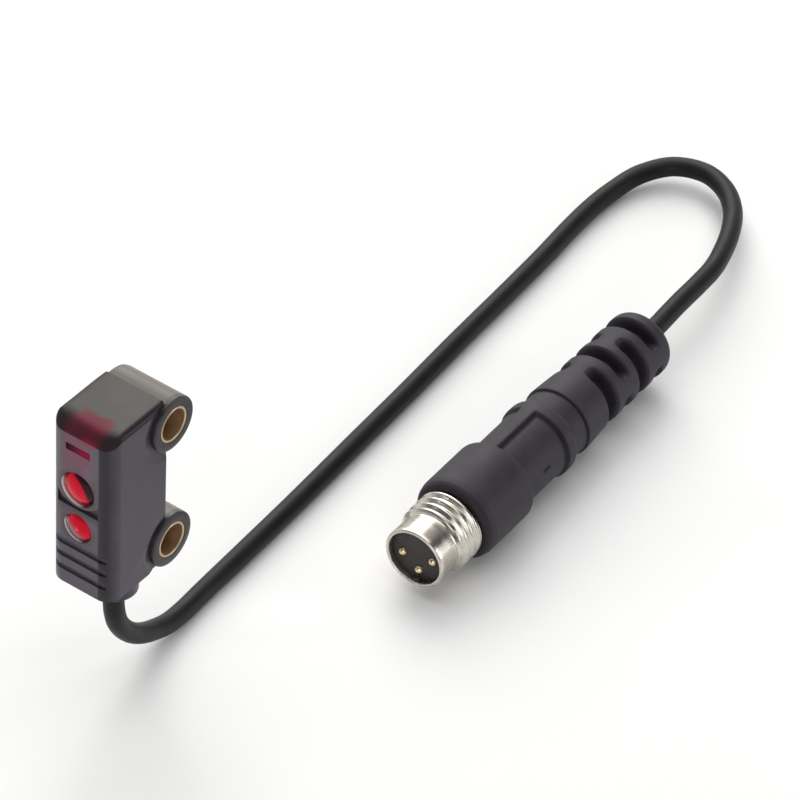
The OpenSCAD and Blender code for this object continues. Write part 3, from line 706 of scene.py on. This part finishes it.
# painted shade along the joint between the two plates
between = n.math("MULTIPLY", n.window(zz, -0.3, 1.3, 0.35), 0.55)
col = n.mix(n.span(tone, 0.3, 0.7), rgb(80, 74, 83), rgb(89, 83, 92))
col = n.mix(between, col, rgb(48, 36, 42))
col = n.mix(rim_glow, col, rgb(64, 42, 52))
col = n.mix(n.math("MULTIPLY", tint, 0.7), col, rgb(120, 58, 80))
col = n.mix(n.math("MULTIPLY", high, 0.45), col, rgb(128, 42, 62))
# painted reflection on the lower left of each lens seat, painted shade on its upper right
col = n.mix(seat_big, col, n.mix(low_left, rgb(44, 28, 37), n.mix(n.span(r_big, 1.86, 2.02), rgb(120, 84, 92), rgb(226, 214, 216))))
col = n.mix(seat_small, col, n.mix(low_left2, rgb(44, 28, 37), n.mix(n.span(r_small, 1.56, 1.68), rgb(110, 84, 92), rgb(220, 208, 210))))
n.set(Base_Color=col, Roughness=n.span(fine, 0.3, 0.7, 0.32, 0.42), Normal=n.bump(fine, 0.08, 0.006))
n.bsdf.inputs["Specular IOR Level"].default_value = 0.3
front_mat = n.mat
upper_plate = refine("front_plate_upper", "front_plate_top", front_mat, bevel=0.08, segments=3,
                     sharp=lambda v: v.z > 9.68)
lower_plate = refine("front_plate_lower", "front_plate_bottom", front_mat, bevel=0.08, segments=3)

# the red element seen through each clear dome: off to the lower left in the large one, to the upper right in the small
# one; the rest of each dome has painted shade, and a painted reflection lights its lower-left rim
def lens_material(name, shape):
    n = Nodes(name)
    x, y, zz = n.xyz()
    soft = n.noise(1.2, 2.0, 0.5)
    red = n.mix(n.span(soft, 0.3, 0.7), rgb(198, 1, 26), rgb(212, 4, 44))
    n.set(Base_Color=shape(n, x, zz, red), Roughness=n.span(soft, 0.3, 0.7, 0.04, 0.07))
    n.bsdf.inputs["Specular IOR Level"].default_value = 0.1
    n.bsdf.inputs["Coat Weight"].default_value = 0.03
    n.bsdf.inputs["Coat Roughness"].default_value = 0.02
    return n.mat


def large(n, x, zz, red):
    # painted shade outside the red element, painted reflection as the light lower-left rim
    lit = n.span(n.radius(x, zz, -1.7, 2.2), 2.4, 2.75, 1.0, 0.0)
    r = n.radius(x, zz, -0.3, 3.1)
    rim = n.math("MULTIPLY", n.window(r, 1.62, 1.95, 0.08), n.span(n.math("DIVIDE", n.along(x, zz, -0.3, 3.1, -0.8, -0.6), r), 0.45, 0.9))
    return n.mix(n.math("MULTIPLY", rim, 0.8), n.mix(lit, rgb(50, 22, 32), red), rgb(214, 176, 180))


def small(n, x, zz, red):
    # painted reflection as the pale lower left and rim, painted shade along the right edge
    lit = n.span(n.along(x, zz, -0.3, -1.9, 0.67, 0.74), -0.65, -0.3)
    r = n.radius(x, zz, -0.3, -1.9)
    edge = n.math("MULTIPLY", n.span(r, 1.36, 1.52), n.span(n.along(x, zz, -0.3, -1.9, 0.67, 0.74), 0.2, 0.8))
    rim = n.math("MULTIPLY", n.span(r, 1.3, 1.46), n.span(n.math("DIVIDE", n.along(x, zz, -0.3, -1.9, -0.8, -0.6), r), 0.4, 0.85))
    body = n.mix(n.math("MULTIPLY", edge, 0.75), n.mix(lit, rgb(124, 100, 105), red), rgb(48, 6, 16))
    return n.mix(n.math("MULTIPLY", rim, 0.8), body, rgb(232, 222, 223))


rx = refine("receiver_lens", "lens_large", lens_material("red_lens_large", large), bevel=0.0)
tx = refine("emitter_lens", "lens_small", lens_material("red_lens_small", small), bevel=0.0)

n = Nodes("slot_window_fine")
soft = n.noise(1.5, 2.0, 0.5)
x, y, zz = n.xyz()
# painted shade: the slot is darkened at its left end and along its top
lit = n.math("MULTIPLY", n.span(x, -1.8, 0.6), n.span(zz, 7.6, 8.3, 1.0, 0.6))
n.set(Base_Color=n.mix(lit, rgb(30, 3, 12), n.mix(soft, rgb(140, 4, 50), rgb(162, 8, 66))), Roughness=n.span(soft, 0.3, 0.7, 0.4, 0.5))
n.bsdf.inputs["Specular IOR Level"].default_value = 0.06
slot_window = refine("indicator_window", "slot_window", n.mat, bevel=0.04, segments=2)

n = turned_metal("sleeve_metal_fine", rgb(143, 110, 80), rgb(160, 127, 96), (0.3, 0.42), (1, 0, 0), fine=30.0, bump=0.1)
x, y, zz = n.xyz()
bore = n.bsdf.inputs["Base Color"].links[0].from_socket
end = n.span(n.math("ABSOLUTE", x), 3.86, 3.93)
n.put(n.mix(end, bore, rgb(184, 165, 136)), n.bsdf.inputs["Base Color"])
n.put(n.math("ADD", n.math("MULTIPLY", end, 0.65), 0.3), n.bsdf.inputs["Metallic"])
sleeve_mat = n
sleeves = [refine(f"{w}_sleeve", f"{w}_mounting_sleeve", sleeve_mat.mat, bevel=0.1, segments=2) for w in ("upper", "lower")]

# ------------------------------------------------------------------ what is inside keeps its CAD shape
inner = {
    "optics_block": grained("inside_black", rgb(22, 22, 23), rgb(30, 30, 31)),
    "light_guide": grained("inside_guide", rgb(196, 30, 50), rgb(220, 48, 66), rough=(0.15, 0.25), bump=0.03),
    "circuit_board": grained("inside_board", rgb(22, 70, 42), rgb(34, 92, 54), rough=(0.3, 0.42), grain=6.0, cloud=1.4),
    "receiver_chip": grained("inside_chip", rgb(20, 20, 22), rgb(32, 32, 34), rough=(0.4, 0.55)),
    "emitter_led": grained("inside_clear_lamp", rgb(214, 210, 200), rgb(232, 228, 220), rough=(0.1, 0.18), bump=0.02),
    "signal_led": grained("inside_amber_lamp", rgb(228, 168, 60), rgb(240, 188, 84), rough=(0.15, 0.25), bump=0.03),
    "power_led": grained("inside_green_lamp", rgb(110, 180, 80), rgb(132, 200, 100), rough=(0.15, 0.25), bump=0.03),
    "logic_chip": grained("inside_logic", rgb(18, 18, 20), rgb(28, 28, 30), rough=(0.45, 0.6)),
    "teach_trimmer": grained("inside_trimmer", rgb(184, 176, 160), rgb(202, 194, 178), rough=(0.4, 0.55)),
    "cable_grommet": grained("bush_rubber", rgb(34, 32, 34), rgb(44, 42, 44), rough=(0.55, 0.7)),
    "cable_tail": sheath,
    "wire_brown": grained("lead_brown", rgb(92, 52, 28), rgb(110, 64, 36), rough=(0.4, 0.5)),
    "wire_blue": grained("lead_blue", rgb(28, 62, 150), rgb(38, 78, 172), rough=(0.4, 0.5)),
    "wire_black": grained("lead_black", rgb(18, 18, 20), rgb(28, 28, 30), rough=(0.4, 0.5)),
}
for name, n in inner.items():
    for sl in NODES[name].material_slots:
        sl.material = n.mat

# ------------------------------------------------------------------ floor, light
def plane(name, size, z, material, cuts=24):
    bm = bmesh.new()
    bmesh.ops.create_grid(bm, x_segments=cuts, y_segments=cuts, size=size / 2)
    me = bpy.data.meshes.new(name)
    bm.to_mesh(me)
    bm.free()
    me.materials.append(material)
    ob = link(bpy.data.objects.new(name, me))
    ob.location.z = z
    return ob


n = Nodes("pale_floor")
tone = n.noise(0.004, 3.0, 0.5)
n.set(Base_Color=n.mix(n.span(tone, 0.3, 0.7), (0.86, 0.86, 0.86, 1), (0.89, 0.89, 0.885, 1)), Roughness=0.9)
n.bsdf.inputs["Specular IOR Level"].default_value = 0.1
floor = plane("floor", 6.0, FLOOR * MM - 0.00002, n.mat)
floor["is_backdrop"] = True


def softbox(name, direction, distance, size, watts, colour=(1, 1, 1), target=(0.004, 0.03, -0.012)):
    d = Vector(direction).normalized()
    data = bpy.data.lights.new(name, "AREA")
    data.shape = "RECTANGLE"
    data.size, data.size_y = size
    data.energy = watts
    data.color = colour
    ob = link(bpy.data.objects.new(name, data))
    ob.location = Vector(target) + d * distance
    ob.rotation_euler = d.to_track_quat("Z", "Y").to_euler()
    return ob


softbox("light_back_left", (-0.62, 0.55, 0.66), 0.7, (0.55, 0.55), 3.4, (1.0, 0.985, 0.96))
softbox("light_over", (0.0, 0.1, 1.0), 0.8, (0.8, 0.8), 3.2)
softbox("light_front", (0.55, -0.9, 0.35), 0.8, (0.5, 0.5), 1.8)
softbox("light_front_left", (-0.45, -0.85, 0.34), 0.8, (0.12, 0.12), 0.5)
softbox("light_right_strip", (0.8, 0.5, 0.2), 0.6, (0.14, 0.3), 0.8)

world = bpy.data.worlds.new("studio")
bpy.context.scene.world = world
world.use_nodes = True
wt = world.node_tree
wt.nodes.clear()
wo = wt.nodes.new("ShaderNodeOutputWorld")
bg = wt.nodes.new("ShaderNodeBackground")
tc = wt.nodes.new("ShaderNodeTexCoord")
# bright to the back left, dim to the right and behind the camera
side = wt.nodes.new("ShaderNodeVectorMath")
side.operation = "DOT_PRODUCT"
side.inputs[1].default_value = (-0.8, 0.6, 0.15)
ramp = wt.nodes.new("ShaderNodeValToRGB")
mr = wt.nodes.new("ShaderNodeMapRange")
wt.links.new(tc.outputs["Generated"], side.inputs[0])
wt.links.new(side.outputs["Value"], mr.inputs[0])
mr.inputs[1].default_value = -1.0
mr.inputs[2].default_value = 1.0
wt.links.new(mr.outputs[0], ramp.inputs[0])
els = ramp.color_ramp.elements
els[0].position, els[0].color = 0.40, (0.10, 0.10, 0.105, 1)
els[1].position, els[1].color = 0.85, (0.95, 0.95, 0.94, 1)
mid = els.new(0.6)
mid.color = (0.22, 0.22, 0.225, 1)
wt.links.new(ramp.outputs[0], bg.inputs[0])
bg.inputs[1].default_value = 0.8
wt.links.new(bg.outputs[0], wo.inputs[0])

vs = bpy.context.scene.view_settings
vs.view_transform = "Standard"
vs.look = "None"
vs.exposure = 0.0
vs.gamma = 1.0

# ------------------------------------------------------------------ sizes
low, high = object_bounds()
